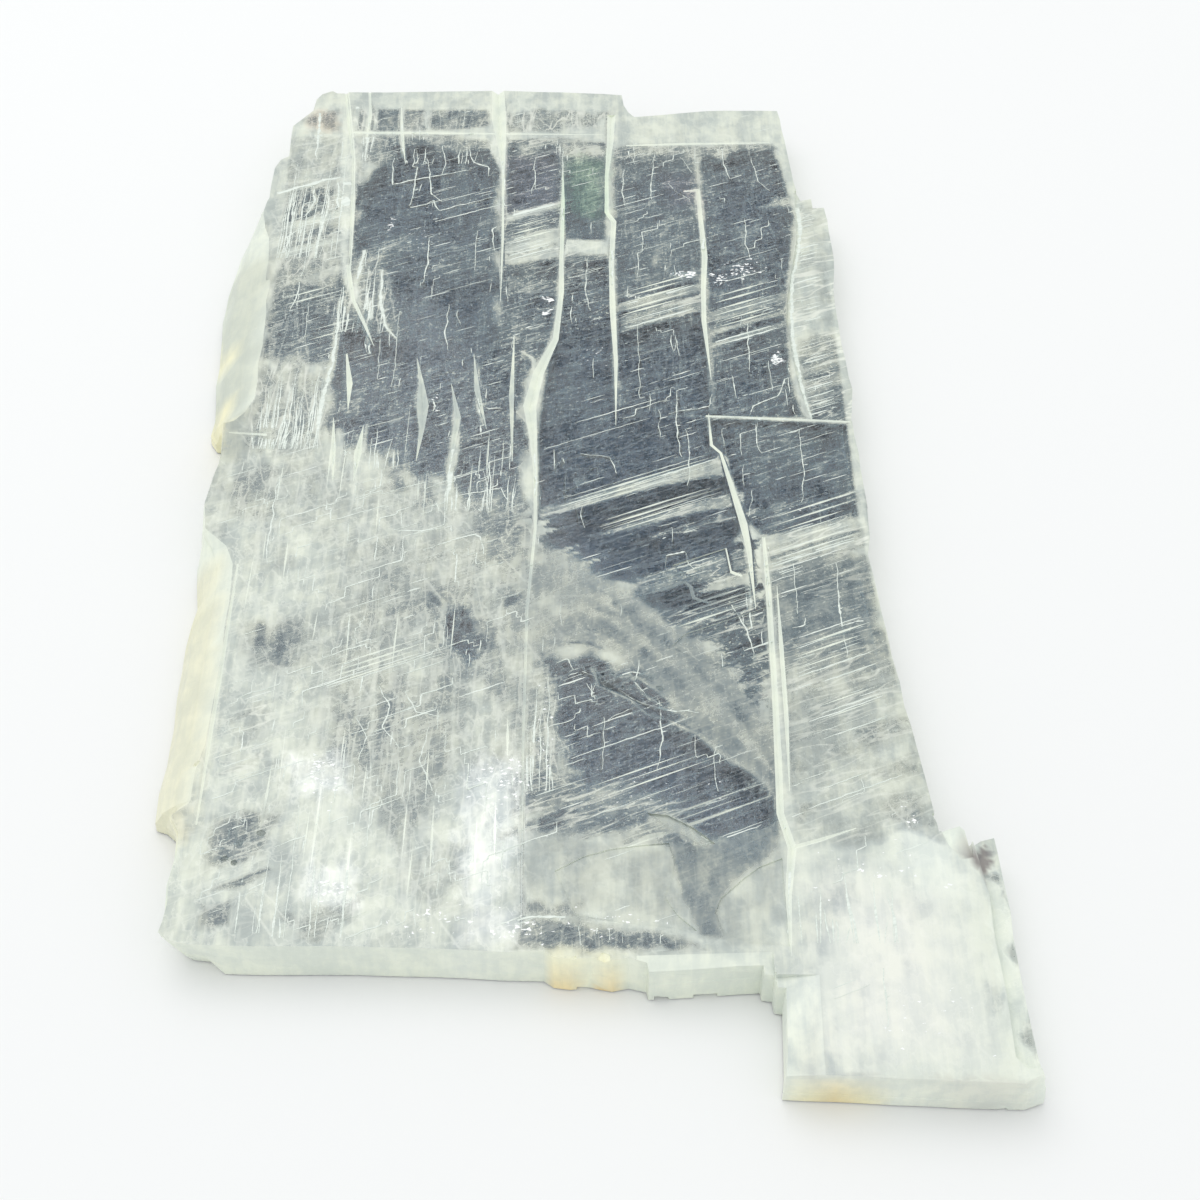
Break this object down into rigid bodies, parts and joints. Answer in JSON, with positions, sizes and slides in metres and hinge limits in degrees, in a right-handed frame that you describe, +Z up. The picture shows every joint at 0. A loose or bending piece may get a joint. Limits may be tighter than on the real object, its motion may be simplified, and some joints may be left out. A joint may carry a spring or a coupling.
{
  "type": "selenite slab",
  "caption": "Flat clear-to-milky crystal slab with stepped broken edges and a tab at one corner, for display on a flat surface.",
  "frame": {"origin": "centre of the outer box, on the plane of the flat underside", "axes": "+Y along the slab's length away from the tab, +X to the tab's side, +Z up out of the top face"},
  "size_m": [0.1278, 0.2295, 0.0074],
  "materials": {
    "selenite": "glassy cleavage faces with milky veils, silky fibrous broken edges and a cream crust on the left edge"
  },
  "bodies": {
    "root": {"selenite_slab": "selenite"}
  },
  "joints": []
}
